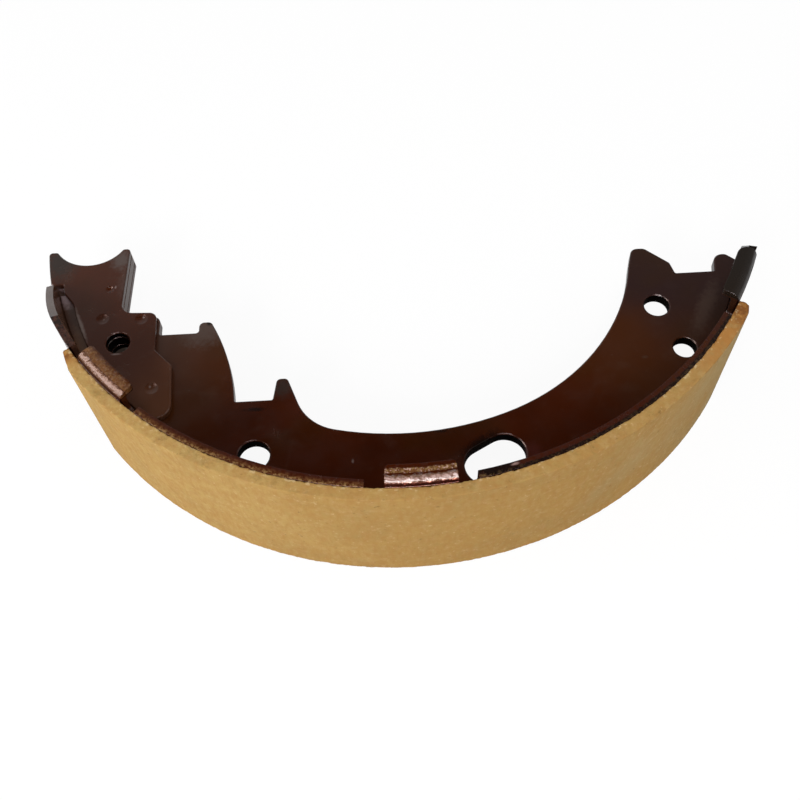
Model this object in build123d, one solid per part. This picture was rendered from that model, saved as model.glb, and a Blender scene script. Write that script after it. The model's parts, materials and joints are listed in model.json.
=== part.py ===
from build123d import *
from math import cos, degrees, radians, sin, sqrt
import os

# Brake shoe for a drum brake, in millimetres, lying on its plain edge with the folded tabs on top.
# Everything is struck from the drum axis, along +Z, and then moved in one piece so that the origin
# is in the middle of the lining's rubbing face, in the plane that the shoe rests on.
# Azimuths are in degrees about the drum axis: 0 is the middle of the shoe, which faces -Y,
# negative azimuths are towards the anchor end at -X, positive ones towards the adjuster end at +X.

# ---- rim: the rolled strip that carries the lining ----
drum_radius = 155.0
lining_thickness = 5.0
rim_thickness = 3.0
rim_width = 60.0
rim_end = 75.0              # azimuth of both ends of the rim
end_width = 19.0            # width left at the tapered ends
rim_corner = 4.5            # rounding of the tapered ends' corners
anchor_taper = 62.0         # azimuth where the taper of the anchor end starts
adjuster_taper = 68.4

# ---- wear tabs folded inwards from the rim's upper edge ----
tab_spans = [(-52.7, -42.8), (-3.2, 6.5), (57.4, 66.8)]
tab_rise = 3.0              # top of a tab above the rim's edge
tab_reach = 7.3             # length of a tab, inwards from the rim's outer face
tab_bend = 1.0              # inside radius of the fold
tab_corner = 1.6
end_tab_corner = 4.4        # the outermost tab has its free corner cut back more
relief_length = 7.0         # notch beside each tab, which lets it fold
relief_depth = 8.0
relief_corner = 2.5

# ---- friction lining ----
lining_start = -55.4
lining_end = 57.7
anchor_bevel_length = 9.0   # ground-off ends of the lining
anchor_bevel_depth = 2.4
adjuster_bevel_length = 4.0
adjuster_bevel_depth = 1.4

# ---- web plate ----
web_thickness = 5.0
web_depth = 33.5            # from the rim's inner face to the web's inner edge
web_start = -74.7           # azimuths where the web leaves the rim
web_end = 74.4
edge_break = 0.4            # chamfer on the sheared plate edges
corner_break = 0.9          # small radius in the corners of the notches

# ---- doubler plates on both faces of the web ----
doubler_thickness = 3.0
doubler_gap = 5.0           # strip of web left bare between doubler and rim
doubler_bulge = 1.3         # the doubler's outer edge is fuller in its middle
doubler_setback = 3.7       # degrees from the web's start to the doubler's
shoulder_step = 1.0         # the web stands out past the doubler at the shoulder
dent_depth = 0.5            # marks of the projection welds, placed from the pin: x, y, radius
dents = [(10.6, -30.3, 1.7), (9.2, -45.3, 2.6), (25.1, -46.3, 2.6), (32.1, -80.0, 2.6)]

# ---- anchor end, measured from the centre of the anchor pin ----
pin_inset = 16.3            # pin centre, inside the rim's inner face
pin_azimuth = -85.9
pin_seat_radius = 16.5
horn_drop = 8.7             # tips of the horns, below the pin's centre
horn_overhang = 2.2         # the outer horn stands out past the rim's inner face
horn_tip_radius = 1.4
horn_side = 17.0            # inner edge of the inner horn
throat_depth = 42.4          # corner where the horn's edge turns into the shoulder
throat_lean = 0.8
throat_radius = 5.0
shoulder_reach = 31.0
shoulder_drop = 43.2
shoulder_radius = 3.2
shoulder_side = 9.3         # height of the shoulder's side above the straight land
relief_side = 9.3           # cut-out over the rim's end
relief_top = 26.5
relief_floor = 29.6
doubler_relief = 30.6       # floor of the cut-out in the doubler
doubler_side_step = 0.6     # the web stands out past the doubler beside the cut-out
doubler_waist = (31.8, -61.7)
doubler_step = (39.1, -69.4)
doubler_foot = 40.9         # edge of the doubler's foot
doubler_foot_radius = 6.0

# ---- lever notch with its tooth and horn, measured from the middle of the notch floor ----
notch_inset = 34.8
notch_azimuth = -31.55
notch_half_width = 7.5
tooth_height = 9.6
tooth_width = 4.1
tooth_lean = 1.5
tooth_roundness = 0.46      # each corner radius of the tip, as a share of the tooth's width
tooth_blend_radius = 20.0
tooth_foot = -19.5          # azimuth where the tooth's flank would meet the inner edge
lever_horn_rise = 5.2       # the horn's tip stands above the land
lever_horn_reach = 18.6     # inner corner of the horn's tip
lever_horn_width = 4.8
lever_horn_radius = 2.1
lever_horn_belly = (-10.8, 19.8)
land_radius = 1.4           # corners of the straight land between shoulder and lever horn

# ---- adjuster end, measured from the middle of the adjuster seat ----
seat_inset = 16.1
seat_azimuth = 70.1
seat_half_width = 8.1
horn_corner = (-24.2, 14.0)
horn_crest = -18.9
horn_knee = (-9.5, 5.6)
horn_radius = 3.2
knee_radius = 2.5
inner_sweep_start = 22.0    # azimuth where the inner edge leaves its circle
inner_sweep_belly = (-42.6, -31.1)
inner_sweep_end = (-27.0, 4.0)
lug_height = 8.7
lug_lean = 1.4
lug_crest = 4.9
lug_radius = 4.0

# ---- holes: distance inside the rim's inner face, azimuth, radius ----
pin_hole = (15.1, -59.6, 4.8)
lever_hole = (14.0, -25.8, 6.15)
spring_hole = (26.3, 59.9, 5.1)
cable_hole = (8.5, 53.9, 4.6)

# ---- slanted slot for the hold-down pin ----
slot_inset = 16.2
slot_azimuth = 14.5
slot_length = 24.6
slot_width = 16.2
slot_tilt = 29.0

# ---- derived sizes ----
rim_outer = drum_radius - lining_thickness
rim_inner = rim_outer - rim_thickness
web_inner = rim_inner - web_depth
web_low = (rim_width - web_thickness) / 2
web_high = web_low + web_thickness
doubler_outer = rim_inner - doubler_gap
tooth_radius = tooth_roundness * tooth_width
cutter_margin = 2 * rim_thickness   # how far a cutter runs past the sheet's edges
cutter_reach = rim_width / 2        # how far it runs through the curved sheet
coincident = 1e-6                   # points nearer than this are one point


def polar(radius, azimuth):
    """Point in plan at a distance and an azimuth about the drum axis."""
    return Vector(radius * sin(radians(azimuth)), -radius * cos(radians(azimuth)))


def inset(depth, azimuth):
    """Point in plan at a depth inside the rim's inner face."""
    return polar(rim_inner - depth, azimuth)


pin = inset(pin_inset, pin_azimuth)
notch = inset(notch_inset, notch_azimuth)
seat = inset(seat_inset, seat_azimuth)


def turn(section, start, end):
    """Revolve a section, drawn with X as radius, about the drum axis between two azimuths."""
    return Rot(0, 0, start - 90) * revolve(section, Axis.Z, end - start)


def arc(radius, start, end):
    """Arc in plan about the drum axis."""
    return ThreePointArc(polar(radius, start), polar(radius, (start + end) / 2), polar(radius, end))


def chain(*pieces):
    """Face from arcs and corner points: a straight edge joins each piece to the next."""
    edges = []
    first = None
    last = None
    for piece in pieces:
        start = piece if isinstance(piece, Vector) else piece @ 0
        if last is not None and (start - last).length > coincident:
            edges.append(Line(last, start))
        if not isinstance(piece, Vector):
            edges.append(piece)
        first = start if first is None else first
        last = piece if isinstance(piece, Vector) else piece @ 1
    edges.append(Line(last, first))
    return make_face(edges)


def round_corners(face, corners):
    """Fillet the outline's corners that lie nearest to the given points."""
    for point, radius in corners:
        corner = face.vertices().sort_by_distance(point)[0]
        face = fillet(corner, radius)
    return face


def round_hole(spec):
    """Round hole in plan, from its depth inside the rim, azimuth and radius."""
    depth, azimuth, radius = spec
    return Pos(inset(depth, azimuth)) * Circle(radius)


def break_edges(plate):
    """Chamfer the sheared edges on both faces of a flat plate."""
    faces = plate.faces().sort_by(Axis.Z)
    return chamfer(faces[0].edges() + faces[-1].edges(), edge_break)


def anchor_horns():
    """Pieces of outline that web and doublers share: relief, outer horn, pin seat and inner horn."""
    horn_outer = rim_inner + horn_overhang
    side = pin.X - relief_side
    under_y = pin.Y - relief_top
    tip_y = pin.Y - horn_drop
    seat_half = sqrt(pin_seat_radius ** 2 - horn_drop ** 2)
    root = Vector(-sqrt(horn_outer ** 2 - under_y ** 2), under_y)
    tip = Vector(-sqrt(horn_outer ** 2 - tip_y ** 2), tip_y)
    outer_edge = ThreePointArc(root, (root + tip).normalized() * horn_outer, tip)
    pin_seat = ThreePointArc(
        Vector(pin.X - seat_half, tip_y),
        Vector(pin.X, pin.Y - pin_seat_radius),
        Vector(pin.X + seat_half, tip_y),
    )
    inner_tip = Vector(pin.X + horn_side, tip_y)
    throat = Vector(pin.X + horn_side - throat_lean, pin.Y - throat_depth)
    pieces = [Vector(side, under_y), outer_edge, pin_seat, inner_tip, throat]
    corners = [
        (root, horn_tip_radius),
        (tip, horn_tip_radius),
        (pin_seat @ 0, horn_tip_radius),
        (pin_seat @ 1, horn_tip_radius),
        (inner_tip, horn_tip_radius),
        (throat, throat_radius),
    ]
    return pieces, corners


def lever_notch(land_start):
    """Straight land, lever horn, notch and tooth, ending on the web's inner circle."""
    land_y = land_start.Y
    tip_y = land_y + lever_horn_rise
    horn_x = notch.X - lever_horn_reach
    floor_left = Vector(notch.X - notch_half_width, notch.Y)
    floor_right = Vector(notch.X + notch_half_width, notch.Y)
    land_end = Vector(horn_x - lever_horn_width, land_y)
    tip_left = Vector(horn_x - lever_horn_width, tip_y)
    tip_right = Vector(horn_x, tip_y)
    belly = Vector(notch.X + lever_horn_belly[0], notch.Y + lever_horn_belly[1])
    flank = ThreePointArc(tip_right, belly, floor_left)
    tooth_left = Vector(floor_right.X + tooth_lean, notch.Y + tooth_height)
    tooth_right = tooth_left + Vector(tooth_width, 0)
    foot = polar(web_inner, tooth_foot)
    pieces = [land_start, land_end, tip_left, flank, floor_right, tooth_left, tooth_right, foot]
    corners = [
        (land_end, land_radius),
        (tip_left, lever_horn_radius),
        (tip_right, lever_horn_radius),
        (floor_left, corner_break),
        (floor_right, corner_break),
        (tooth_left, tooth_radius),
        (tooth_right, tooth_radius),
        (foot, tooth_blend_radius),
    ]
    return pieces, corners


def adjuster_end():
    """Sweep of the inner edge, slanted horn, adjuster seat and the lug beside the rim."""
    sweep = ThreePointArc(
        polar(web_inner, inner_sweep_start),
        seat + Vector(*inner_sweep_belly),
        seat + Vector(*inner_sweep_end),
    )
    corner = seat + Vector(*horn_corner)
    crest = seat + Vector(horn_crest, horn_corner[1])
    knee = seat + Vector(*horn_knee)
    seat_left = seat - Vector(seat_half_width, 0)
    seat_right = seat + Vector(seat_half_width, 0)
    lug_left = seat_right + Vector(lug_lean, lug_height)
    lug_right = lug_left + Vector(lug_crest, 0)
    pieces = [sweep, corner, crest, knee, seat_left, seat_right, lug_left, lug_right]
    corners = [
        (corner, horn_radius),
        (crest, horn_radius),
        (knee, knee_radius),
        (seat_left, corner_break),
        (seat_right, corner_break),
        (lug_left, lug_radius),
        (lug_right, knee_radius),
    ]
    return pieces, corners


def make_web():
    """Flat stamped plate; its outer edge stands on the rim's inner face."""
    shoulder = Vector(pin.X + shoulder_reach + shoulder_step, pin.Y - shoulder_drop)
    shoulder_foot = shoulder - Vector(0, shoulder_side)
    relief_y = pin.Y - relief_floor
    relief_start = Vector(-sqrt(rim_inner ** 2 - relief_y ** 2), relief_y)
    relief_corner_point = Vector(pin.X - relief_side, relief_y)
    rim_seat = ThreePointArc(polar(rim_inner, web_end), polar(rim_inner, 0), relief_start)
    anchor, anchor_corners = anchor_horns()
    lever, lever_corners = lever_notch(shoulder_foot)
    inner_edge = arc(web_inner, tooth_foot, inner_sweep_start)
    adjuster, adjuster_corners = adjuster_end()
    outline = chain(
        relief_corner_point, *anchor, shoulder, *lever, inner_edge, *adjuster, rim_seat
    )
    corners = anchor_corners + lever_corners + adjuster_corners
    corners += [(shoulder, shoulder_radius), (shoulder_foot, land_radius)]
    outline = round_corners(outline, corners)
    slot = Pos(inset(slot_inset, slot_azimuth)) * Rot(0, 0, slot_tilt) * SlotOverall(
        slot_length, slot_width
    )
    holes = [round_hole(spec) for spec in (pin_hole, lever_hole, spring_hole, cable_hole)]
    for cut in [slot] + holes:
        outline = outline - cut
    return break_edges(Pos(0, 0, web_low) * extrude(outline, web_thickness))


def make_doubler():
    """Front doubler: it repeats the anchor horns and ends in a foot beside the rim."""
    anchor, corners = anchor_horns()
    shoulder = Vector(pin.X + shoulder_reach, pin.Y - shoulder_drop)
    waist = pin + Vector(*doubler_waist)
    step = pin + Vector(*doubler_step)
    foot_x = pin.X + doubler_foot
    foot = Vector(foot_x, -sqrt(doubler_outer ** 2 - foot_x ** 2))
    side_y = pin.Y - doubler_relief
    side = Vector(pin.X - relief_side + doubler_side_step, side_y)
    start = polar(doubler_outer, web_start + doubler_setback)
    middle = (foot + start).normalized() * (doubler_outer + doubler_bulge)
    foot_edge = ThreePointArc(foot, middle, start)
    outline = chain(side, *anchor, shoulder, waist, step, foot_edge)
    corners = corners + [
        (shoulder, shoulder_radius),
        (waist, knee_radius),
        (step, knee_radius),
        (foot, doubler_foot_radius),
    ]
    outline = round_corners(outline, corners) - round_hole(pin_hole)
    plate = break_edges(Pos(0, 0, web_high) * extrude(outline, doubler_thickness))
    for x, y, radius in dents:
        ball_radius = (radius ** 2 + dent_depth ** 2) / (2 * dent_depth)
        ball_height = web_high + doubler_thickness + ball_radius - dent_depth
        plate -= Pos(pin.X + x, pin.Y + y, ball_height) * Sphere(ball_radius)
    return plate


def sheet_cut(azimuth, profile):
    """Cutter through the rim for a profile drawn on its tangent plane: X along it, Y upwards."""
    tangent = Plane(
        origin=polar(rim_outer, azimuth),
        x_dir=(cos(radians(azimuth)), sin(radians(azimuth)), 0),
        z_dir=polar(1, azimuth),
    )
    return extrude(tangent * profile, amount=cutter_reach, both=True)


def end_taper(start, side):
    """Cutters that narrow one end of the rim, from azimuth start on, to end_width."""
    length = radians(rim_end - start) * rim_outer
    slope = (rim_width - end_width) / 2 / length
    wedge = make_face(
        Polyline(
            (-side * length, 0),
            (side * cutter_margin, slope * (length + cutter_margin)),
            (side * cutter_margin, -cutter_margin),
            (-side * length, -cutter_margin),
            close=True,
        )
    )
    lower = sheet_cut(side * rim_end, wedge)
    return lower, lower.mirror(Plane.XY.offset(rim_width / 2))


def relief_notch(azimuth, side):
    """Cutter for the round-cornered notch in the rim's upper edge beside one end of a tab."""
    profile = RectangleRounded(relief_length, 2 * relief_depth, relief_corner)
    return sheet_cut(azimuth, Pos(side * relief_length / 2, rim_width) * profile)


def make_tab(start, end, corners):
    """Wear tab: the sheet stands up from the rim and is folded square towards the drum axis."""
    root = rim_width - relief_depth
    top = rim_width + tab_rise
    fold = tab_bend + rim_thickness
    free_edge = rim_outer - tab_reach
    outside = RadiusArc((rim_outer, top - fold), (rim_outer - fold, top), -fold)
    inside = RadiusArc((rim_outer - fold, top - rim_thickness), (rim_inner, top - fold), tab_bend)
    section = make_face(
        [
            Line((rim_outer, root), outside @ 0),
            outside,
            Line(outside @ 1, (free_edge, top)),
            Line((free_edge, top), (free_edge, top - rim_thickness)),
            Line((free_edge, top - rim_thickness), inside @ 0),
            inside,
            Line(inside @ 1, (rim_inner, root)),
            Line((rim_inner, root), (rim_outer, root)),
        ]
    )
    tab = turn(Plane.XZ * section, start, end)
    for azimuth, radius in corners:
        corner = polar(free_edge, azimuth) + Vector(0, 0, top)
        edge = tab.edges().filter_by(Axis.Z).sort_by_distance(corner)[0]
        tab = fillet(edge, radius)
    return tab


def make_rim():
    """Rolled strip with tapered ends and three folded tabs between relief notches."""
    section = Pos(rim_outer - rim_thickness / 2, rim_width / 2) * Rectangle(rim_thickness, rim_width)
    rim = turn(Plane.XZ * section, -rim_end, rim_end)
    for cutter in end_taper(anchor_taper, -1) + end_taper(adjuster_taper, 1):
        rim -= cutter
    for start, end in tab_spans:
        rim -= relief_notch(start, -1)
        rim -= relief_notch(end, 1)
    for azimuth in (-rim_end, rim_end):
        for height in ((rim_width - end_width) / 2, (rim_width + end_width) / 2):
            corner = polar(rim_outer - rim_thickness / 2, azimuth) + Vector(0, 0, height)
            rim = fillet(rim.edges().sort_by_distance(corner)[0], rim_corner)
    last_end = tab_spans[-1][1]
    for start, end in tab_spans:
        end_corner = end_tab_corner if end == last_end else tab_corner
        rim += make_tab(start, end, [(start, tab_corner), (end, end_corner)])
    return rim


def make_lining():
    """Friction lining bonded to the outside of the rim, with ground-off ends."""
    start_bevel = lining_start + degrees(anchor_bevel_length / drum_radius)
    end_bevel = lining_end - degrees(adjuster_bevel_length / drum_radius)
    outline = chain(
        arc(rim_outer, lining_start, lining_end),
        polar(drum_radius - adjuster_bevel_depth, lining_end),
        arc(drum_radius, end_bevel, start_bevel),
        polar(drum_radius - anchor_bevel_depth, lining_start),
    )
    return extrude(outline, rim_width)


to_origin = Pos(0, drum_radius, 0)
web = make_web()
front_doubler = make_doubler()
back_doubler = front_doubler.mirror(Plane.XY.offset(rim_width / 2))
rim = make_rim()
lining = make_lining()

shoe = {
    "web": web,
    "rim": rim,
    "lining": lining,
    "front_doubler": front_doubler,
    "back_doubler": back_doubler,
}
os.makedirs("parts", exist_ok=True)
for name, piece in shoe.items():
    export_step(to_origin * piece, f"parts/{name}.step")
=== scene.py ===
import json
from math import atan2, cos, hypot, pi, radians, sin

import bmesh
import bpy
from mathutils import Matrix, Vector, noise


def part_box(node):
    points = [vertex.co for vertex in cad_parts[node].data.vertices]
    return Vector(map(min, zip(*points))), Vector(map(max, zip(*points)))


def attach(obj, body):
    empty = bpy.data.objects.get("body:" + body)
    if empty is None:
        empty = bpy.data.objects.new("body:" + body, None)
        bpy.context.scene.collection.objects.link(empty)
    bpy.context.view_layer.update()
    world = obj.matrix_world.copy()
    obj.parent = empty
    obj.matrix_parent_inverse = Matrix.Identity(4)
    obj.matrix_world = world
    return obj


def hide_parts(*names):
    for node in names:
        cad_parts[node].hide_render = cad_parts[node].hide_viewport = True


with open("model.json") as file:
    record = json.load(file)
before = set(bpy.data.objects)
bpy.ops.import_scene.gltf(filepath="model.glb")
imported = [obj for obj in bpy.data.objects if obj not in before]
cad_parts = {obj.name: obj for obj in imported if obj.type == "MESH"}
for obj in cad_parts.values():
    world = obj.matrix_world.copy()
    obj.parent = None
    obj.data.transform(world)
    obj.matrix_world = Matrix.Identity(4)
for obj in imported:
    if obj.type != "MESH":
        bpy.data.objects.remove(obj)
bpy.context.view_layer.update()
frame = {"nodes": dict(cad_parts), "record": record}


# ---- web plate ----
# The web is blanked from 5 mm steel sheet and stands on edge inside the rim, where it is welded.
# The finished shoe is dipped in dark brown lacquer, which pools on the flat faces, pulls thin over
# the sheared edges and dries with a fine orange peel.
drum_radius = 0.155
web_face = 0.0325
pin_hole = (-0.1138, 0.0883)
slot_length = 0.0246
slot_width = 0.0162
slot_tilt = radians(29)
bore_margin = 0.00012
film_relief = 0.00005
lacquer = (0.0470, 0.0072, 0.0006, 1)
lacquer_pool = (0.0370, 0.0058, 0.0006, 1)
lacquer_brown = (0.0560, 0.0140, 0.0026, 1)
lacquer_dusty = (0.0680, 0.0290, 0.0175, 1)
lacquer_drained = (0.0280, 0.0108, 0.0092, 1)
lacquer_olive = (0.0340, 0.0125, 0.0012, 1)
lacquer_thin = (0.0560, 0.0190, 0.0090, 1)
lacquer_dust = (0.0900, 0.0560, 0.0400, 1)
# painted shade for the walls inside the holes
painted_bore_shade = (0.0012, 0.0006, 0.0004, 1)


def put(tree, kind, inputs=None, **options):
    """Add one shader node, set its options, and fill its inputs with values or with other sockets."""
    node = tree.nodes.new(kind)
    for name, value in options.items():
        setattr(node, name, value)
    for name, value in (inputs or {}).items():
        if isinstance(value, bpy.types.NodeSocket):
            tree.links.new(value, node.inputs[name])
        else:
            node.inputs[name].default_value = value
    return node


def grain(tree, place, size, detail=2.0, roughness=0.5, distortion=0.0):
    """Noise mask whose features are about size metres across."""
    inputs = {"Vector": place, "Scale": 1 / size, "Detail": detail, "Roughness": roughness}
    inputs["Distortion"] = distortion
    return put(tree, "ShaderNodeTexNoise", inputs).outputs["Fac"]


def slide(tree, value, low, high, out_low, out_high, kind="LINEAR"):
    """Value carried over from one range to another and held at its ends."""
    inputs = {"Value": value, "From Min": low, "From Max": high, "To Min": out_low, "To Max": out_high}
    return put(tree, "ShaderNodeMapRange", inputs, interpolation_type=kind).outputs["Result"]


def ramp(tree, value, low, high, out_low=0.0, out_high=1.0):
    """Smooth step of a value between two limits."""
    return slide(tree, value, low, high, out_low, out_high, "SMOOTHSTEP")


def calculate(tree, operation, *values):
    """Result of one arithmetic node."""
    return put(tree, "ShaderNodeMath", dict(enumerate(values)), operation=operation).outputs["Value"]


def times(tree, first, *others):
    """Product of masks and shares."""
    for other in others:
        first = calculate(tree, "MULTIPLY", first, other)
    return first


def opposite(tree, mask):
    """Mask with its inside and outside exchanged."""
    return calculate(tree, "SUBTRACT", 1.0, mask)


def swing(tree, mask, span):
    """Noise mask as a swing about zero, span wide from end to end."""
    return times(tree, calculate(tree, "SUBTRACT", mask, 0.5), span)


def on_vectors(tree, operation, *vectors):
    """Outputs of one vector node: Vector, or Value for a length, a distance or a dot product."""
    return put(tree, "ShaderNodeVectorMath", dict(enumerate(vectors)), operation=operation).outputs


def blend_colour(tree, share, first, second):
    """Mix of two colours: share 0 is the first one, 1 the second."""
    node = put(tree, "ShaderNodeMix", data_type="RGBA")
    for index, value in ((0, share), (6, first), (7, second)):
        if isinstance(value, bpy.types.NodeSocket):
            tree.links.new(value, node.inputs[index])
        else:
            node.inputs[index].default_value = value
    return node.outputs[2]


def lay_over(tree, colour, tone, *shares):
    """Colour with a tone laid over it, as far as the product of the shares goes."""
    return blend_colour(tree, times(tree, *shares), colour, tone)


def new_group(name, inputs, outputs):
    """Empty node group with its input and output nodes."""
    group = bpy.data.node_groups.new(name, "ShaderNodeTree")
    for label, kind, value in inputs:
        group.interface.new_socket(label, in_out="INPUT", socket_type=kind).default_value = value
    for label, kind in outputs:
        group.interface.new_socket(label, in_out="OUTPUT", socket_type=kind)
    return group, group.nodes.new("NodeGroupInput"), group.nodes.new("NodeGroupOutput")


def put_group(tree, group, inputs=None):
    """Outputs of a node group, placed with its own values."""
    return put(tree, "ShaderNodeGroup", inputs, node_tree=group).outputs


def make_drum_place():
    """Place seen from the drum's axis: radius, turn in degrees from the lining's middle, and height."""
    group, _, result = new_group(
        "drum_place",
        [],
        [("Radius", "NodeSocketFloat"), ("Turn", "NodeSocketFloat"), ("Height", "NodeSocketFloat")],
    )
    place = put(group, "ShaderNodeTexCoord").outputs["Object"]
    from_axis = on_vectors(group, "SUBTRACT", place, (0, drum_radius, 0))["Vector"]
    axes = put(group, "ShaderNodeSeparateXYZ", {"Vector": from_axis}).outputs
    level = put(group, "ShaderNodeCombineXYZ", {"X": axes["X"], "Y": axes["Y"]}).outputs[0]
    radius = on_vectors(group, "LENGTH", level)["Value"]
    back = calculate(group, "MULTIPLY", axes["Y"], -1.0)
    turn = calculate(group, "DEGREES", calculate(group, "ARCTAN2", axes["X"], back))
    for label, socket in (("Radius", radius), ("Turn", turn), ("Height", axes["Z"])):
        group.links.new(socket, result.inputs[label])
    return group


drum_place = make_drum_place()


def make_mark():
    """Soft-edged, slightly ragged oval round a point: 1 inside and 0 outside."""
    group, given, result = new_group(
        "mark",
        [
            ("Centre", "NodeSocketVector", (0, 0, 0)),
            ("Reach", "NodeSocketVector", (1, 1, 1)),
            ("Turn", "NodeSocketVector", (0, 0, 0)),
            ("Softness", "NodeSocketFloat", 0.5),
            ("Ragged", "NodeSocketFloat", 0.3),
        ],
        [("Mask", "NodeSocketFloat")],
    )
    given = given.outputs
    place = put(group, "ShaderNodeTexCoord").outputs["Object"]
    inputs = {"Vector": place, "Location": given["Centre"]}
    inputs.update({"Rotation": given["Turn"], "Scale": given["Reach"]})
    offset = put(group, "ShaderNodeMapping", inputs, vector_type="TEXTURE").outputs[0]
    distance = on_vectors(group, "LENGTH", offset)["Value"]
    ragged = swing(group, grain(group, place, 0.0016, 3.0, 0.6), given["Ragged"])
    distance = calculate(group, "ADD", distance, ragged)
    mask = ramp(group, distance, 1.0, opposite(group, given["Softness"]))
    group.links.new(mask, result.inputs["Mask"])
    return group


mark_group = make_mark()


def mark(tree, centre, reach, turn=0, softness=0.85, ragged=0.8):
    """Mask of one oval: its centre, its reach along X, Y and Z in metres, and its turn in degrees."""
    inputs = {"Centre": centre, "Reach": reach, "Turn": (0, 0, radians(turn))}
    inputs.update({"Softness": softness, "Ragged": ragged})
    return put_group(tree, mark_group, inputs)["Mask"]


def make_bores():
    """Mask of the walls inside the punched holes and the slot."""
    group, _, result = new_group("bores", [], [("Mask", "NodeSocketFloat")])
    place = put(group, "ShaderNodeTexCoord").outputs["Object"]
    level = on_vectors(group, "MULTIPLY", place, (1, 1, 0))["Vector"]
    mounts = {mount["name"]: mount for mount in frame["record"]["mounts"]}

    x, y, _ = mounts["hold_down_slot"]["pos_m"]
    inputs = {"Vector": level, "Location": (x, y, 0), "Rotation": (0, 0, slot_tilt)}
    along = put(group, "ShaderNodeMapping", inputs, vector_type="TEXTURE").outputs[0]
    axes = put(group, "ShaderNodeSeparateXYZ", {"Vector": along}).outputs
    straight = (slot_length - slot_width) / 2
    past = calculate(group, "SUBTRACT", calculate(group, "ABSOLUTE", axes["X"]), straight)
    past = calculate(group, "MAXIMUM", past, 0.0)
    corner = put(group, "ShaderNodeCombineXYZ", {"X": past, "Y": axes["Y"]}).outputs[0]
    away = on_vectors(group, "LENGTH", corner)["Value"]
    inside = calculate(group, "LESS_THAN", away, slot_width / 2 + bore_margin)

    for mount in mounts.values():
        if mount["kind"] == "bore":
            x, y, _ = mount["pos_m"]
            away = on_vectors(group, "DISTANCE", level, (x, y, 0))["Value"]
            found = calculate(group, "LESS_THAN", away, mount["dims"]["r_mm"] / 1000 + bore_margin)
            inside = calculate(group, "MAXIMUM", inside, found)
    group.links.new(inside, result.inputs["Mask"])
    return group


bores = make_bores()


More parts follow.
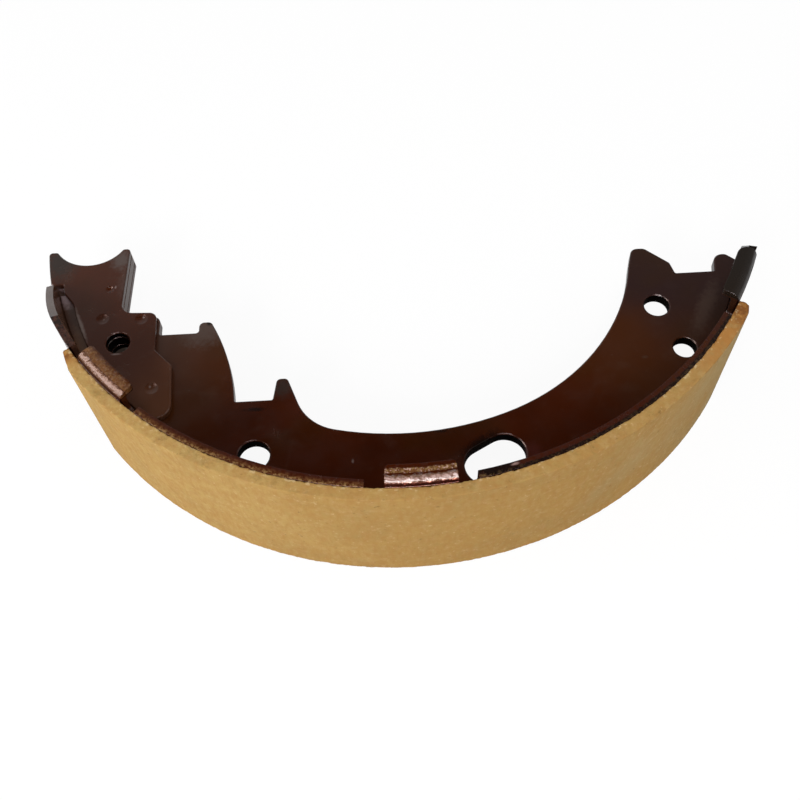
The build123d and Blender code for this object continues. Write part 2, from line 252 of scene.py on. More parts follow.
def make_lacquer_film():
    """Dipped lacquer: colour, roughness and relief, for a film that pools and thins over edges, with
    painted shade on the walls of the holes.
    """
    group, given, result = new_group(
        "lacquer_film",
        [
            ("Film", "NodeSocketColor", lacquer),
            ("Pool", "NodeSocketColor", lacquer_pool),
            ("Brown", "NodeSocketColor", lacquer_brown),
            ("Dusty", "NodeSocketColor", lacquer_dusty),
            ("Drained", "NodeSocketColor", lacquer_drained),
            ("Thin", "NodeSocketColor", lacquer_thin),
            ("Dust", "NodeSocketColor", lacquer_dust),
            ("Dust Amount", "NodeSocketFloat", 0.10),
            ("Edge Radius", "NodeSocketFloat", 0.0005),
            ("Edge Amount", "NodeSocketFloat", 0.75),
            ("Peel", "NodeSocketFloat", 0.25),
            ("Gloss Low", "NodeSocketFloat", 0.16),
            ("Gloss High", "NodeSocketFloat", 0.25),
        ],
        [
            ("Color", "NodeSocketColor"),
            ("Roughness", "NodeSocketFloat"),
            ("Bore", "NodeSocketFloat"),
            ("Height", "NodeSocketFloat"),
            ("Edge Normal", "NodeSocketVector"),
        ],
    )
    place = put(group, "ShaderNodeTexCoord").outputs["Object"]
    given = given.outputs
    pools = ramp(group, grain(group, place, 0.045, 3.0, 0.55, 0.4), 0.42, 0.66)
    colour = blend_colour(group, pools, given["Film"], given["Pool"])

    # the tone changes towards both ends, with a boundary that wanders by 8 degrees
    wandering = swing(group, grain(group, place, 0.030), 16.0)
    turn = calculate(group, "ADD", put_group(group, drum_place)["Turn"], wandering)
    to_adjuster, to_anchor = ramp(group, turn, 30.0, 46.0), ramp(group, turn, -30.0, -44.0)
    either_side = calculate(group, "MAXIMUM", to_adjuster, to_anchor)
    colour = blend_colour(group, either_side, colour, given["Brown"])
    colour = blend_colour(group, ramp(group, turn, -42.0, -58.0), colour, given["Dusty"])
    colour = blend_colour(group, ramp(group, turn, 50.0, 66.0), colour, given["Drained"])
    olive = ramp(group, grain(group, place, 0.034, 2.0, 0.5, 0.3), 0.50, 0.72, 0.0, 0.45)
    colour = blend_colour(group, olive, colour, lacquer_olive)

    # it pulls thin over the edges
    bevel = put(group, "ShaderNodeBevel", {"Radius": given["Edge Radius"]}, samples=6)
    soft_edge = bevel.outputs["Normal"]
    geometry = put(group, "ShaderNodeNewGeometry").outputs
    facing = on_vectors(group, "DOT_PRODUCT", soft_edge, geometry["Normal"])["Value"]
    edge = ramp(group, facing, 0.995, 0.90)
    broken = ramp(group, grain(group, place, 0.0030, 4.0, 0.6), 0.38, 0.62)
    colour = lay_over(group, colour, given["Thin"], edge, broken, given["Edge Amount"])

    # dust in specks and smudges
    specks = ramp(group, grain(group, place, 0.0016, 2.0, 0.5), 0.66, 0.76)
    smudge = ramp(group, grain(group, place, 0.012, 5.0, 0.6, 0.6), 0.54, 0.76)
    dirt = calculate(group, "MAXIMUM", times(group, specks, 0.5), smudge)
    dirt = times(group, dirt, given["Dust Amount"])
    colour = blend_colour(group, dirt, colour, given["Dust"])

    # the walls of the holes are painted black, as painted shade
    up = put(group, "ShaderNodeSeparateXYZ", {"Vector": geometry["True Normal"]}).outputs["Z"]
    wall = calculate(group, "LESS_THAN", calculate(group, "ABSOLUTE", up), 0.3)
    bore = times(group, put_group(group, bores)["Mask"], wall)
    colour = blend_colour(group, bore, colour, painted_bore_shade)

    wear = grain(group, place, 0.010, 4.0, 0.6)
    roughness = slide(group, wear, 0.35, 0.65, given["Gloss Low"], given["Gloss High"])
    roughness = calculate(group, "ADD", roughness, times(group, dirt, 0.5))
    roughness = calculate(group, "MAXIMUM", roughness, times(group, bore, 0.9))
    peel = grain(group, place, 0.0024, 2.0, 0.5)
    sag = grain(group, place, 0.014, 1.0, 0.4)
    height = calculate(group, "ADD", times(group, peel, given["Peel"]), sag)
    for label, socket in (
        ("Color", colour),
        ("Roughness", roughness),
        ("Bore", bore),
        ("Height", height),
        ("Edge Normal", soft_edge),
    ):
        group.links.new(socket, result.inputs[label])
    return group


lacquer_film = make_lacquer_film()


def new_material(name, **constants):
    """Principled material with plain values set on the shader's own sockets."""
    material = bpy.data.materials.new(name)
    material.use_nodes = True
    shader = material.node_tree.nodes["Principled BSDF"]
    for label, value in constants.items():
        shader.inputs[label.replace("_", " ")].default_value = value
    return material, material.node_tree, shader


def lacquered(name, **film_values):
    """Material of a lacquered steel piece; film_values are inputs of the lacquer film."""
    material, tree, shader = new_material(name, IOR=1.40)
    inputs = {label.replace("_", " "): value for label, value in film_values.items()}
    film = put_group(tree, lacquer_film, inputs)
    inputs = {"Strength": 1.0, "Distance": film_relief, "Height": film["Height"]}
    inputs["Normal"] = film["Edge Normal"]
    relief = put(tree, "ShaderNodeBump", inputs)
    for label, socket in (
        ("Base Color", film["Color"]),
        ("Roughness", film["Roughness"]),
        ("Metallic", film["Bore"]),
        ("Normal", relief.outputs["Normal"]),
    ):
        tree.links.new(socket, shader.inputs[label])
    return material, film, relief


def dress(name, material):
    """Give a carried-over steel piece its material."""
    for slot in frame["nodes"][name].material_slots:
        slot.material = material


def add_marks(material, marks):
    """Lay local marks over a material's colour: centre, reach, turn, share and tone of each."""
    tree = material.node_tree
    base = tree.nodes["Principled BSDF"].inputs["Base Color"]
    colour = base.links[0].from_socket
    for centre, reach, turn, share, tone in marks:
        colour = lay_over(tree, colour, tone, mark(tree, centre, reach, turn), share)
    tree.links.new(colour, base)


paler_film = (0.0700, 0.0420, 0.0310, 1)
bare_film = (0.1000, 0.0800, 0.0720, 1)
horn_film = (0.0300, 0.0230, 0.0190, 1)
painted_strip_light = (0.1300, 0.0580, 0.0280, 1)
painted_lilac_sheen = (0.3400, 0.2350, 0.2400, 1)
red_lacquer = (0.0800, 0.0180, 0.0150, 1)
glint_and_scuff = (0.3200, 0.2500, 0.2300, 1)
stain_and_shade = (0.0060, 0.0030, 0.0020, 1)
painted_glint = (0.9000, 0.9000, 0.9000, 1)
web_marks = [
    # painted light: the strip of web between rim and doubler lies in shade and is painted lighter, with
    # a painted lilac sheen at its top end
    ((-0.1290, 0.0900, web_face), (0.0080, 0.0200, 0.0030), 0, 0.90, painted_strip_light),
    ((-0.1390, 0.1150, web_face), (0.0090, 0.0040, 0.0030), -73, 0.95, painted_lilac_sheen),
    ((-0.0800, 0.0940, web_face), (0.0150, 0.0110, 0.0100), 0, 0.45, bare_film),
    ((-0.0780, 0.0975, web_face), (0.0016, 0.0018, 0.0020), 0, 0.90, stain_and_shade),
    ((-0.0473, 0.0650, web_face), (0.0060, 0.0070, 0.0100), 0, 0.75, horn_film),
    ((-0.0205, 0.0305, web_face), (0.0007, 0.0013, 0.0010), 0, 0.30, glint_and_scuff),
    ((-0.0580, 0.0553, web_face), (0.0062, 0.0013, 0.0010), 0, 0.75, stain_and_shade),
    ((0.0132, 0.0413, web_face), (0.0040, 0.0010, 0.0010), 0, 0.60, stain_and_shade),
    # painted shade: a dark fringe along the slot's upper edge
    ((0.0275, 0.0348, web_face), (0.0130, 0.0042, 0.0060), 33, 0.90, stain_and_shade),
    ((0.0470, 0.0310, web_face), (0.0050, 0.0055, 0.0060), 0, 0.45, red_lacquer),
    # paler patches of lacquer towards the adjuster end
    ((0.0870, 0.0560, web_face), (0.0060, 0.0040, 0.0010), 0, 0.14, paler_film),
    ((0.0954, 0.0697, web_face), (0.0018, 0.0011, 0.0010), 0, 0.45, paler_film),
    ((0.1235, 0.0920, web_face), (0.0220, 0.0050, 0.0030), 63, 0.55, paler_film),
    # painted shade: the pin hole is painted black inside
    ((*pin_hole, web_face), (0.0080, 0.0080, 0.0080), 0, 1.00, painted_bore_shade),
    # painted glint on the far wall of the pin hole
    ((-0.1169, 0.0930, 0.0300), (0.0008, 0.0008, 0.0010), 0, 1.00, painted_glint),
]
web_lacquer, _, _ = lacquered("web_lacquer")
add_marks(web_lacquer, web_marks)
dress("web", web_lacquer)


# ---- doubler plates ----
# Two 3 mm plates stiffen the anchor end, one on each face of the web, held by projection welds
# that leave shallow dents. They carry the same lacquer, a little thinner and dustier.
upper_face = 0.0355
lower_face = 0.0245
doubler_film = {
    "Film": (0.0720, 0.0260, 0.0115, 1),
    "Pool": (0.0620, 0.0240, 0.0110, 1),
    "Brown": (0.1080, 0.0370, 0.0150, 1),
    "Dusty": (0.0560, 0.0130, 0.0042, 1),
    "Thin": (0.0900, 0.0550, 0.0420, 1),
    "Dust_Amount": 0.20,
}
painted_edge_highlight = (0.2000, 0.1500, 0.1300, 1)
doubler_marks = [
    ((-0.1425, 0.1310, upper_face), (0.0110, 0.0140, 0.0200), 0, 0.90, horn_film),
    ((-0.1165, 0.1310, upper_face), (0.0060, 0.0080, 0.0200), 0, 0.70, bare_film),
    ((-0.1125, 0.1180, upper_face), (0.0060, 0.0120, 0.0200), 0, 0.30, bare_film),
    # painted highlights: pale glints in the weld dents
    ((-0.1175, 0.1164, upper_face), (0.0006, 0.0012, 0.0010), 0, 0.60, glint_and_scuff),
    ((-0.1208, 0.1003, upper_face), (0.0008, 0.0008, 0.0010), 0, 0.40, glint_and_scuff),
    ((-0.1045, 0.1003, upper_face), (0.0008, 0.0007, 0.0010), 0, 0.75, glint_and_scuff),
    ((-0.0990, 0.0665, upper_face), (0.0008, 0.0009, 0.0010), 0, 0.65, glint_and_scuff),
    # painted highlight along the lower edge of the pin hole
    ((-0.1140, 0.0826, upper_face), (0.0030, 0.0006, 0.0008), 0, 0.50, glint_and_scuff),
    # painted highlight along the doubler's outer edge
    ((-0.1298, 0.0980, upper_face), (0.0130, 0.0013, 0.0020), -68, 0.80, painted_edge_highlight),
    # painted shade: the pin hole is painted black inside
    ((*pin_hole, lower_face), (0.0080, 0.0080, 0.0070), 0, 1.00, painted_bore_shade),
]
doubler_lacquer, _, _ = lacquered("doubler_lacquer", **doubler_film)
add_marks(doubler_lacquer, doubler_marks)
dress("front_doubler", doubler_lacquer)
dress("back_doubler", doubler_lacquer)


# ---- rim ----
# The rim is rolled from 3 mm strip, with ends cut to a taper and three tabs folded inwards along
# its upper edge. Folding stretches the skin, so the lacquer lies rough on the first two tabs, with
# a painted sheen of ochre and pink blotches. Lengths in pairs are for the middle tab and the first one.
rim_outer = drum_radius - 0.005
rim_inner = rim_outer - 0.003
rim_height = 0.060
tab_start = 0.0002
tab_full = 0.0006
first_tab_turn = -30
smooth_tab_turn = 40
skin_inner = (0.0056, 0.0066)
skin_outer = (0.0040, 0.0034)
sheen_blotch_share = (0.90, 0.22)
sheen_speck_share = (0.85, 0.10)
wrinkle_height = 9.0
edge_brown = (0.1150, 0.0400, 0.0120, 1)
edge_deep = (0.0420, 0.0105, 0.0060, 1)
edge_ochre = (0.3300, 0.1900, 0.0700, 1)
edge_dark = (0.0070, 0.0030, 0.0020, 1)
skin_brown = (0.1650, 0.0660, 0.0210, 1)
highlight_ochre = (0.3000, 0.1800, 0.0750, 1)
highlight_pink = (0.6000, 0.3800, 0.3300, 1)
wall_maroon = (0.0500, 0.0080, 0.0040, 1)
smooth_tab_black = (0.0125, 0.0095, 0.0065, 1)


def make_rim_lacquer():
    """Lacquer of the rim: worn on the upper edge, wrinkled on the folds with a painted sheen, smooth on
    the last tab.
    """
    film_values = {"Dust_Amount": 0.14, "Edge_Radius": 0.0003, "Edge_Amount": 0.35}
    material, film, relief = lacquered("rim_lacquer", **film_values)
    tree = material.node_tree
    shader = tree.nodes["Principled BSDF"]
    place = put(tree, "ShaderNodeTexCoord").outputs["Object"]
    drum = put_group(tree, drum_place)
    radius, turn, level = drum["Radius"], drum["Turn"], drum["Height"]
    geometry = put(tree, "ShaderNodeNewGeometry").outputs
    up = put(tree, "ShaderNodeSeparateXYZ", {"Vector": geometry["True Normal"]}).outputs["Z"]
    on_tab = ramp(tree, level, rim_height + tab_start, rim_height + tab_full)
    rough_tab = times(tree, on_tab, ramp(tree, turn, smooth_tab_turn, smooth_tab_turn - 1))

    # the upper edge is worn to brown, warmest in the middle
    top = calculate(tree, "GREATER_THAN", up, 0.7)
    high = ramp(tree, level, rim_height - 0.0006, rim_height - 0.0002)
    worn = times(tree, top, opposite(tree, on_tab), high)
    fine = grain(tree, place, 0.0014, 4.0, 0.65)
    bare = ramp(tree, fine, 0.34, 0.60)
    worn_share = times(tree, worn, bare, 0.85)
    ragged_radius = calculate(tree, "ADD", radius, swing(tree, fine, 0.0014))
    outer_part = ramp(tree, ragged_radius, rim_inner + 0.0006, rim_inner + 0.0018)
    warm_middle = times(tree, ramp(tree, turn, -50.0, -40.0), ramp(tree, turn, 12.0, 2.0))
    edge_colour = lay_over(tree, edge_deep, edge_brown, warm_middle, outer_part)
    colour = blend_colour(tree, worn_share, film["Color"], edge_colour)

    # along the lining lie crumbs of bonding resin, and to the right a dark line
    to_right = ramp(tree, turn, 5.0, 15.0)
    dark_line = ramp(tree, ragged_radius, rim_outer - 0.0016, rim_outer - 0.0009)
    colour = lay_over(tree, colour, edge_dark, dark_line, worn, to_right, 0.9)
    # painted shade: the rim's edge beside the slot is painted dark
    slot_shade = mark(tree, (0.0300, 0.0104, rim_height), (0.0095, 0.0032, 0.0060), 11, 0.5)
    colour = lay_over(tree, colour, edge_dark, slot_shade, 0.95)
    crumbs = ramp(tree, grain(tree, place, 0.0015, 4.0, 0.7), 0.46, 0.60)
    near_lining = ramp(tree, ragged_radius, rim_outer - 0.0017, rim_outer - 0.0004)
    fewer = times(tree, ramp(tree, to_right, 0.0, 1.0, 0.70, 0.10), ramp(tree, turn, -54.0, -50.0))
    colour = lay_over(tree, colour, edge_ochre, crumbs, near_lining, worn, fewer)
    # painted glint on the rim's edge to the right of the slot
    rim_glint = mark(tree, (0.0362, 0.0116, rim_height), (0.0022, 0.0007, 0.0020), 14, 0.9, 1.6)
    colour = lay_over(tree, colour, highlight_pink, rim_glint, 0.5)

    # the rough skin lies in a band along the folds, brown with ochre and pink blotches painted on as a
    # sheen, and the fold is painted brown as well
    first_tab = ramp(tree, turn, first_tab_turn, first_tab_turn - 2)

    def per_tab(middle, first):
        """Value for the middle tab, and another one for the first tab."""
        return ramp(tree, first_tab, 0.0, 1.0, middle, first)

    crease = per_tab(rim_outer - skin_inner[0], rim_outer - skin_inner[1])
    crest = per_tab(rim_outer - skin_outer[0], rim_outer - skin_outer[1])
    past_crease = ramp(tree, calculate(tree, "SUBTRACT", ragged_radius, crease), -0.0004, 0.0003)
    before_crest = ramp(tree, calculate(tree, "SUBTRACT", crest, ragged_radius), -0.0003, 0.0003)
    band = times(tree, past_crease, before_crest, rough_tab)
    patchy = ramp(tree, grain(tree, place, 0.0011, 4.0, 0.7), 0.36, 0.62, 0.45, 1.0)
    far_in = ramp(tree, radius, rim_outer - 0.0066, rim_outer - 0.0046, 0.35, 1.0)
    colour = lay_over(tree, colour, skin_brown, band, patchy, far_in)
    sheen_blotch = ramp(tree, grain(tree, place, 0.0014, 4.0, 0.7, 0.4), 0.46, 0.62)
    colour = lay_over(tree, colour, highlight_ochre, band, sheen_blotch, per_tab(*sheen_blotch_share))
    pale = ramp(tree, grain(tree, place, 0.0009, 3.0, 0.6), 0.54, 0.64)
    colour = lay_over(tree, colour, highlight_pink, band, pale, per_tab(*sheen_speck_share))
    fold = ramp(tree, radius, rim_outer - 0.0034, rim_outer - 0.0026, 0.0, 0.55)
    colour = lay_over(tree, colour, skin_brown, fold, rough_tab)

    # the walls under the folds stay deep maroon
    tab_wall = ramp(tree, radius, rim_outer - 0.0011, rim_outer - 0.0005)
    above_foot = ramp(tree, level, rim_height - 0.0080, rim_height - 0.0070)
    tab_wall = times(tree, tab_wall, above_foot, opposite(tree, top))
    colour = blend_colour(tree, tab_wall, colour, wall_maroon)
    tree.links.new(times(tree, tab_wall, 0.9), shader.inputs["Metallic"])

    # soot and scale at the anchor end, and near-black lacquer at the adjuster end
    taper = times(tree, ramp(tree, turn, -55.0, -56.0), ramp(tree, turn, -64.0, -63.0))
    soot = ramp(tree, grain(tree, place, 0.0026, 4.0, 0.7), 0.40, 0.56, 0.85, 0.0)
    colour = lay_over(tree, colour, edge_dark, taper, soot)
    inner_face = ramp(tree, radius, rim_inner + 0.0003, rim_inner + 0.0001)
    at_anchor = ramp(tree, turn, -52.0, -56.0)
    colour = lay_over(tree, colour, skin_brown, inner_face, at_anchor, bare, 0.45)
    last_end = times(tree, ramp(tree, turn, 50.0, 68.0), opposite(tree, worn))
    last_tab = calculate(tree, "SUBTRACT", on_tab, rough_tab)
    smooth = calculate(tree, "MAXIMUM", last_tab, last_end)
    colour = lay_over(tree, colour, smooth_tab_black, smooth, 0.9)
    tree.links.new(colour, shader.inputs["Base Color"])

    wrinkles = calculate(tree, "ADD", grain(tree, place, 0.0026, 2.0, 0.5), times(tree, fine, 0.3))
    height = calculate(tree, "ADD", times(tree, wrinkles, rough_tab, wrinkle_height), film["Height"])
    tree.links.new(height, relief.inputs["Height"])
    gloss = times(tree, film["Roughness"], ramp(tree, rough_tab, 0.0, 1.0, 1.0, 0.75))
    roughness = calculate(tree, "ADD", gloss, times(tree, worn_share, 0.06))
    tree.links.new(roughness, shader.inputs["Roughness"])
    return material


dress("rim", make_rim_lacquer())


# ---- friction lining ----
# The lining is a moulded composite of resin, fibre and mineral fillers, bonded to the rim. Its face
# is ground to the drum's radius, its ends are ground off at a slope, and its sawn edges crumble.
lining_outer = drum_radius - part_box("lining")[0].y
lining_inner = rim_outer
lining_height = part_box("lining")[1].z
lining_start = radians(-55.4)
lining_end = radians(57.7)
anchor_slope = (0.0090, 0.0024)
adjuster_slope = (0.0040, 0.0014)
thickness_cells = 10
height_cells = 74
length_cells = 420
edge_crowding = 0.62
face_depth = 0.00005
grinding_depth = 0.00004
grinding_pitch = (40, 260)
pit_depth = 0.00055
pit_pitch = 900
sawn_depth = 0.00004
sawn_pit_depth = 0.0006
sawn_pit_pitch = 700
rubbing_crumble = (0.00012, 0.0011, 0.0016)
sawn_crumble = (0.00005, 0.0016, 0.0013)
end_crumble = (0.0003, 0.0016, 0.0020)
touching = 0.00001
drum_axis = Vector((0, drum_radius, 0))


def crowd(share):
    """Move an even share of the height towards the nearer edge, where the detail is."""
    return share - edge_crowding * sin(2 * pi * share) / (2 * pi)


def round_off(first, second, radius):
    """Distances from the two faces at an edge, moved onto a round of that radius."""
    a = radius - first
    b = radius - second
    reach = hypot(a, b)
    if a <= 0 or b <= 0 or reach <= radius:
        return first, second
    return radius - a * radius / reach, radius - b * radius / reach


def crumble(place, least, most, size):
    """Radius to which an edge has crumbled at a place: small mostly, and larger in scattered chips."""
    fine = noise.noise(place / size)
    coarse = noise.noise(place / (size * 4.5) + Vector((7.1, 3.3, 5.7)))
    return least + (most - least) * max(0.0, min(1.0, 0.25 + 0.75 * fine + 0.6 * max(0.0, coarse)))


def make_lining():
    """Spin the section round the drum's axis and wear it, vertex by vertex."""
    shape = bmesh.new()
    bmesh.ops.create_grid(shape, x_segments=thickness_cells, y_segments=height_cells, size=0.5)
    thickness = lining_outer - lining_inner
    for vertex in shape.verts:
        across = vertex.co.x + 0.5
        up = crowd(vertex.co.y + 0.5)
        vertex.co = drum_axis + Vector((lining_inner + across * thickness, 0, up * lining_height))
    quarter = radians(90)
    to_start = Matrix.Rotation(lining_start - quarter, 3, "Z")
    bmesh.ops.rotate(shape, verts=shape.verts, cent=drum_axis, matrix=to_start)
    bmesh.ops.spin(
        shape,
        geom=shape.verts[:] + shape.edges[:] + shape.faces[:],
        cent=drum_axis,
        axis=(0, 0, 1),
        angle=lining_end - lining_start,
        steps=length_cells,
        use_merge=False,
    )
    bmesh.ops.remove_doubles(shape, verts=shape.verts, dist=0.000001)
    bmesh.ops.recalc_face_normals(shape, faces=shape.faces)
    for vertex in shape.verts:
        wear_vertex(vertex, thickness)
    bmesh.ops.recalc_face_normals(shape, faces=shape.faces)
    for face in shape.faces:
        face.smooth = True
    mesh = bpy.data.meshes.new("ground_lining")
    shape.to_mesh(mesh)
    shape.free()
    piece = bpy.data.objects.new("ground_lining", mesh)
    bpy.context.scene.collection.objects.link(piece)
    return piece


def wear_vertex(vertex, thickness):
    """Slope the ends, crumble the edges and pit the faces at one vertex."""
    place = vertex.co - drum_axis
    x, y, z = place
    azimuth = atan2(x, -y)
    radius = hypot(x, y)
    share = (radius - lining_inner) / thickness
    from_start = (azimuth - lining_start) * lining_outer
    from_end = (lining_end - azimuth) * lining_outer
    room = thickness
    for distance, (length, depth) in ((from_start, anchor_slope), (from_end, adjuster_slope)):
        if distance < length:
            room -= depth * (1 - distance / length)
    round_drum, across_drum = grinding_pitch
    ground = noise.noise(Vector((azimuth * round_drum, z * across_drum, 0.0)))
    pit = max(0.0, noise.noise(place * pit_pitch) - 0.32)
    inside = share * room
    outside = room - inside
    top = lining_height - z
    bottom = z

    if share > 0.999:
        outside += face_depth + grinding_depth * ground + pit_depth * pit
    if top < touching:
        sawn_pit = max(0.0, noise.noise(place * sawn_pit_pitch + Vector((1, 2, 3))) - 0.2)
        top += sawn_depth + sawn_pit_depth * sawn_pit
    if bottom < touching:
        bottom = 0.0
    sharp = crumble(place, *rubbing_crumble)
    outside, top = round_off(outside, top, sharp)
    outside, bottom = round_off(outside, bottom, sharp)
    ragged = crumble(place + Vector((0.3, 0, 0)), *sawn_crumble)
    inside_gap, top = round_off(max(0.0, room - outside), top, ragged)
    if room - outside < ragged:
        outside = room - inside_gap

    end_wear = crumble(place + Vector((0, 0.4, 0)), *end_crumble)
    new_start, outside_start = round_off(max(from_start, 0.0), outside, end_wear)
    new_end, outside_end = round_off(max(from_end, 0.0), outside, end_wear)
    new_start, top_start = round_off(new_start, top, end_wear)
    new_end, top_end = round_off(new_end, top, end_wear)
    outside = max(outside_start, outside_end)
    top = max(top_start, top_end)
    azimuth += (new_start - max(from_start, 0.0)) / lining_outer
    azimuth -= (new_end - max(from_end, 0.0)) / lining_outer

    radius = lining_inner + room - outside
    height = bottom if bottom > z else lining_height - top
    height = min(max(height, 0.0), lining_height)
    vertex.co = drum_axis + Vector((radius * sin(azimuth), -radius * cos(azimuth), height))


composite_cream = (0.490, 0.320, 0.108, 1)
composite_tan = (0.440, 0.268, 0.082, 1)
composite_grey = (0.345, 0.245, 0.100, 1)
composite_resin = (0.400, 0.190, 0.055, 1)
composite_olive = (0.235, 0.150, 0.045, 1)
composite_burnt = (0.430, 0.190, 0.048, 1)
composite_scorch = (0.170, 0.055, 0.014, 1)
composite_pale_grey = (0.450, 0.350, 0.175, 1)
composite_dark = (0.150, 0.085, 0.032, 1)
composite_pale = (0.720, 0.560, 0.300, 1)


def make_composite():
    """Ground friction composite: clouds of filler, resin-rich patches, specks, pores and sawn edges."""
    material, tree, shader = new_material("friction_composite", IOR=1.45, Specular_IOR_Level=0.05)
    place = put(tree, "ShaderNodeTexCoord").outputs["Object"]
    drum = put_group(tree, drum_place)
    radius, turn, level = drum["Radius"], drum["Turn"], drum["Height"]

    # cream at the anchor end, tan in the middle, greyer towards the adjuster end
    along = calculate(tree, "ADD", turn, swing(tree, grain(tree, place, 0.040), 60.0))
    colour = blend_colour(tree, ramp(tree, along, -34.0, 0.0), composite_cream, composite_tan)
    colour = blend_colour(tree, ramp(tree, along, 18.0, 52.0, 0.0, 0.45), colour, composite_grey)

    # filler, resin and fibre, which show more where the edge was sawn
    sawn = ramp(tree, level, lining_height - 0.0007, lining_height - 0.0003)
    clouds = ramp(tree, grain(tree, place, 0.022, 4.0, 0.6, 0.5), 0.42, 0.66)
    colour = lay_over(tree, colour, composite_grey, clouds, 0.22)
    mottle = ramp(tree, grain(tree, place, 0.0045, 5.0, 0.7), 0.38, 0.66)
    colour = lay_over(tree, colour, composite_resin, mottle, ramp(tree, sawn, 0.0, 1.0, 0.30, 0.42))
    patches = ramp(tree, grain(tree, place, 0.0075, 5.0, 0.7, 0.5), 0.52, 0.66)
    colour = lay_over(tree, colour, composite_olive, patches, ramp(tree, sawn, 0.0, 1.0, 0.12, 0.42))
    upright = put(tree, "ShaderNodeMapping", {"Vector": place, "Scale": (1.0, 1.0, 0.3)}).outputs[0]
    fibre = ramp(tree, grain(tree, upright, 0.0014, 3.0, 0.6), 0.42, 0.66, 0.0, 0.34)
    colour = blend_colour(tree, fibre, colour, composite_resin)
    dust = ramp(tree, grain(tree, place, 0.0030, 4.0, 0.7), 0.46, 0.66, 0.0, 0.10)
    colour = blend_colour(tree, dust, colour, composite_pale)

    # pale on the face near the adjuster end, burnt and scorched where the ends were ground
    flank = times(tree, ramp(tree, along, 30.0, 60.0), opposite(tree, sawn))
    colour = lay_over(tree, colour, composite_pale_grey, flank, 0.6)
    sawn_end = times(tree, ramp(tree, turn, 40.0, 51.0), sawn)
    burnt_ends = calculate(tree, "MAXIMUM", ramp(tree, turn, -51.5, -54.0), sawn_end)
    burnt = ramp(tree, grain(tree, place, 0.0050, 4.0, 0.65), 0.30, 0.52)
    colour = lay_over(tree, colour, composite_burnt, burnt, burnt_ends, 0.85)
    start, end = ramp(tree, turn, -53.0, -54.5), ramp(tree, turn, 52.0, 56.0)
    scorch = ramp(tree, grain(tree, place, 0.0030, 4.0, 0.65), 0.34, 0.54)
    upwards = ramp(tree, level, lining_height - 0.006, lining_height, 0.2, 1.0)
    scorched = times(tree, calculate(tree, "MAXIMUM", start, end), scorch, upwards)
    colour = lay_over(tree, colour, composite_scorch, scorched, 0.80)

    # dark and pale specks
    dark = ramp(tree, grain(tree, place, 0.0021, 3.0, 0.6), 0.64, 0.75)
    colour = lay_over(tree, colour, composite_dark, dark, 0.45)
    pale = ramp(tree, grain(tree, place, 0.0015, 2.0, 0.5), 0.65, 0.75)
    colour = lay_over(tree, colour, composite_pale, pale, 0.28)

    # lacquer has crept over the inner edge, and pale chips lie next to it
    creep = slide(tree, grain(tree, place, 0.0016, 3.0, 0.6), 0.35, 0.68, -0.0003, 0.0004)
    limit = calculate(tree, "ADD", creep, lining_inner)
    painted = ramp(tree, calculate(tree, "SUBTRACT", limit, radius), -0.0001, 0.0001)
    painted = times(tree, painted, ramp(tree, turn, -20.0, 10.0, 0.35, 0.9))
    colour = blend_colour(tree, painted, colour, edge_dark)
    chips = ramp(tree, grain(tree, place, 0.0022, 3.0, 0.6), 0.54, 0.64)
    near_rim = ramp(tree, radius, lining_inner + 0.0016, lining_inner + 0.0005)
    colour = lay_over(tree, colour, composite_pale, chips, near_rim, opposite(tree, painted), 0.6)

    pores = grain(tree, place, 0.0009, 4.0, 0.7)
    relief = put(tree, "ShaderNodeBump", {"Strength": 0.9, "Distance": 0.00012, "Height": pores})
    roughness = ramp(tree, pores, 0.3, 0.7, 0.72, 0.95)
    tree.links.new(colour, shader.inputs["Base Color"])
    tree.links.new(roughness, shader.inputs["Roughness"])
    tree.links.new(relief.outputs["Normal"], shader.inputs["Normal"])
    return material


lining = make_lining()
lining.data.materials.append(make_composite())
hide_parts("lining")
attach(lining, "root")


# ---- floor and light ----
# A white sweep under a dark ceiling: the bright horizon shows in the lacquer as a soft sheen. Plain
# panels light the shoe, and panels for the sheen alone draw the highlights on folds and edges. At
# the foot of the rim, under the doubler plates, the floor is painted in deep shade.
floor_size = 6.0
floor_shade = 0.12
floor_glow = 1.04
mirrored_shade = 0.80
shade_across = (0.116, 0.131)
shade_foot = (0.150, 0.147)
shade_start = (-77.5, -71.0)
shade_end = (-40.0, -60.0)
room_light = 0.40
ceiling_edge = (0.86, 0.72)
left_fade = (0.25, -0.30, 0.26, 0.60)
floor_white = (0.80, 0.80, 0.80, 1)
deep_shade = (0.020, 0.015, 0.012, 1)
white = (1, 1, 1, 1)
aim = Vector((0, 0.065, 0.03))


def mix_shaders(tree, share, first, second):
    """Mix of two shaders: share 0 is the first one, 1 the second."""
    return put(tree, "ShaderNodeMixShader", {0: share, 1: first, 2: second}).outputs[0]


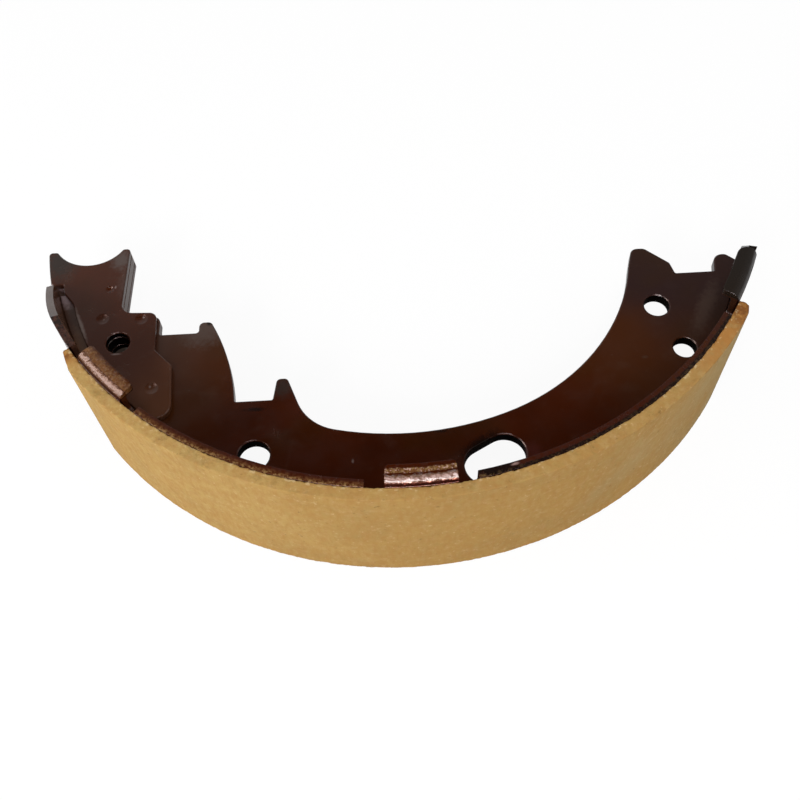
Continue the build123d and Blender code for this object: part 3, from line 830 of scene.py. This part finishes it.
def make_floor():
    """White floor that keeps a little of the shoe's shadow, with deep shade painted under the anchor
    end.
    """
    shape = bmesh.new()
    bmesh.ops.create_grid(shape, x_segments=1, y_segments=1, size=floor_size / 2)
    mesh = bpy.data.meshes.new("floor")
    shape.to_mesh(mesh)
    shape.free()
    floor = bpy.data.objects.new("floor", mesh)
    bpy.context.scene.collection.objects.link(floor)
    material = bpy.data.materials.new("white_sweep")
    material.use_nodes = True
    tree = material.node_tree
    tree.nodes.clear()
    drum = put_group(tree, drum_place)
    radius, turn = drum["Radius"], drum["Turn"]
    across = times(tree, ramp(tree, radius, *shade_across), ramp(tree, radius, *shade_foot))
    along = times(tree, ramp(tree, turn, *shade_start), ramp(tree, turn, *shade_end))
    shaded = times(tree, across, along)
    floor_colour = blend_colour(tree, shaded, floor_white, deep_shade)
    glow_colour = blend_colour(tree, shaded, white, deep_shade)
    matt = put(tree, "ShaderNodeBsdfDiffuse", {"Color": floor_colour}).outputs[0]
    glow = put(tree, "ShaderNodeEmission", {"Color": glow_colour, "Strength": floor_glow}).outputs[0]
    rays = put(tree, "ShaderNodeLightPath").outputs
    mirrored = calculate(tree, "MAXIMUM", rays["Is Glossy Ray"], rays["Is Transmission Ray"])
    in_gloss = mix_shaders(tree, mirrored_shade, glow, matt)
    unseen = mix_shaders(tree, mirrored, matt, in_gloss)
    seen = mix_shaders(tree, floor_shade, glow, matt)
    surface = mix_shaders(tree, rays["Is Camera Ray"], unseen, seen)
    put(tree, "ShaderNodeOutputMaterial", {"Surface": surface})
    floor.data.materials.append(material)


def make_sky():
    """World: plain light for the object, white to the camera, and a dark ceiling in reflections."""
    world = bpy.data.worlds.new("studio")
    bpy.context.scene.world = world
    world.use_nodes = True
    tree = world.node_tree
    tree.nodes.clear()

    def plain(strength):
        """White light of one strength."""
        return put(tree, "ShaderNodeBackground", {"Color": white, "Strength": strength}).outputs[0]

    rays = put(tree, "ShaderNodeLightPath").outputs
    direction = put(tree, "ShaderNodeTexCoord").outputs["Generated"]
    axes = put(tree, "ShaderNodeSeparateXYZ", {"Vector": direction}).outputs
    below_ceiling = ramp(tree, axes["Z"], *ceiling_edge)
    from_left = ramp(tree, axes["X"], *left_fade)
    mirrored = plain(times(tree, below_ceiling, from_left))
    light = mix_shaders(tree, rays["Is Glossy Ray"], plain(room_light), mirrored)
    surface = mix_shaders(tree, rays["Is Camera Ray"], light, plain(1.0))
    put(tree, "ShaderNodeOutputWorld", {"Surface": surface})


def make_lamp(name, bearing, elevation, distance, size, power, only_sheen=False, tint=(1, 1, 1)):
    """Soft panel; its bearing is in degrees round from -Y, negative to the left."""
    data = bpy.data.lights.new(name, "AREA")
    data.shape = "RECTANGLE"
    data.size, data.size_y = size
    data.energy = power
    data.color = tint
    lamp = bpy.data.objects.new(name, data)
    across = cos(radians(elevation))
    direction = Vector(
        (sin(radians(bearing)) * across, -cos(radians(bearing)) * across, sin(radians(elevation)))
    )
    lamp.location = aim + direction * distance
    lamp.rotation_euler = direction.to_track_quat("Z", "Y").to_euler()
    lamp.visible_diffuse = not only_sheen
    bpy.context.scene.collection.objects.link(lamp)


make_floor()
make_sky()
make_lamp("front_window", -24, 36, 1.20, (0.34, 0.34), 6.0)
make_lamp("left_panel", -78, 28, 1.30, (0.80, 0.80), 4.6)
make_lamp("right_panel", 78, 34, 1.30, (0.80, 0.80), 2.2)
make_lamp("ceiling_panel", 10, 76, 1.20, (0.30, 0.30), 2.0)
make_lamp("front_sheen", -3, 38, 1.20, (0.80, 1.10), 36.0, only_sheen=True, tint=(1.0, 0.78, 0.78))
make_lamp("front_glint", -3, 28, 1.20, (0.80, 0.16), 20.0, only_sheen=True)
make_lamp("left_sheen", -88, 34, 1.20, (0.50, 1.00), 15.0, only_sheen=True, tint=(1.0, 0.72, 0.64))


# ---- camera ----
# The camera stands in front of the lining's middle and looks down on the shoe, leaning a little
# to one side.
camera_data = bpy.data.cameras.new("camera")
camera_data.sensor_width = 36
camera_data.lens = 44.78
camera = bpy.data.objects.new("camera", camera_data)
camera.location = (0, -0.14316, 0.36185)
camera.rotation_euler = (radians(31.116), radians(1.825), radians(-2.518))
bpy.context.scene.collection.objects.link(camera)
bpy.context.scene.camera = camera
bpy.context.scene.view_settings.view_transform = "Standard"
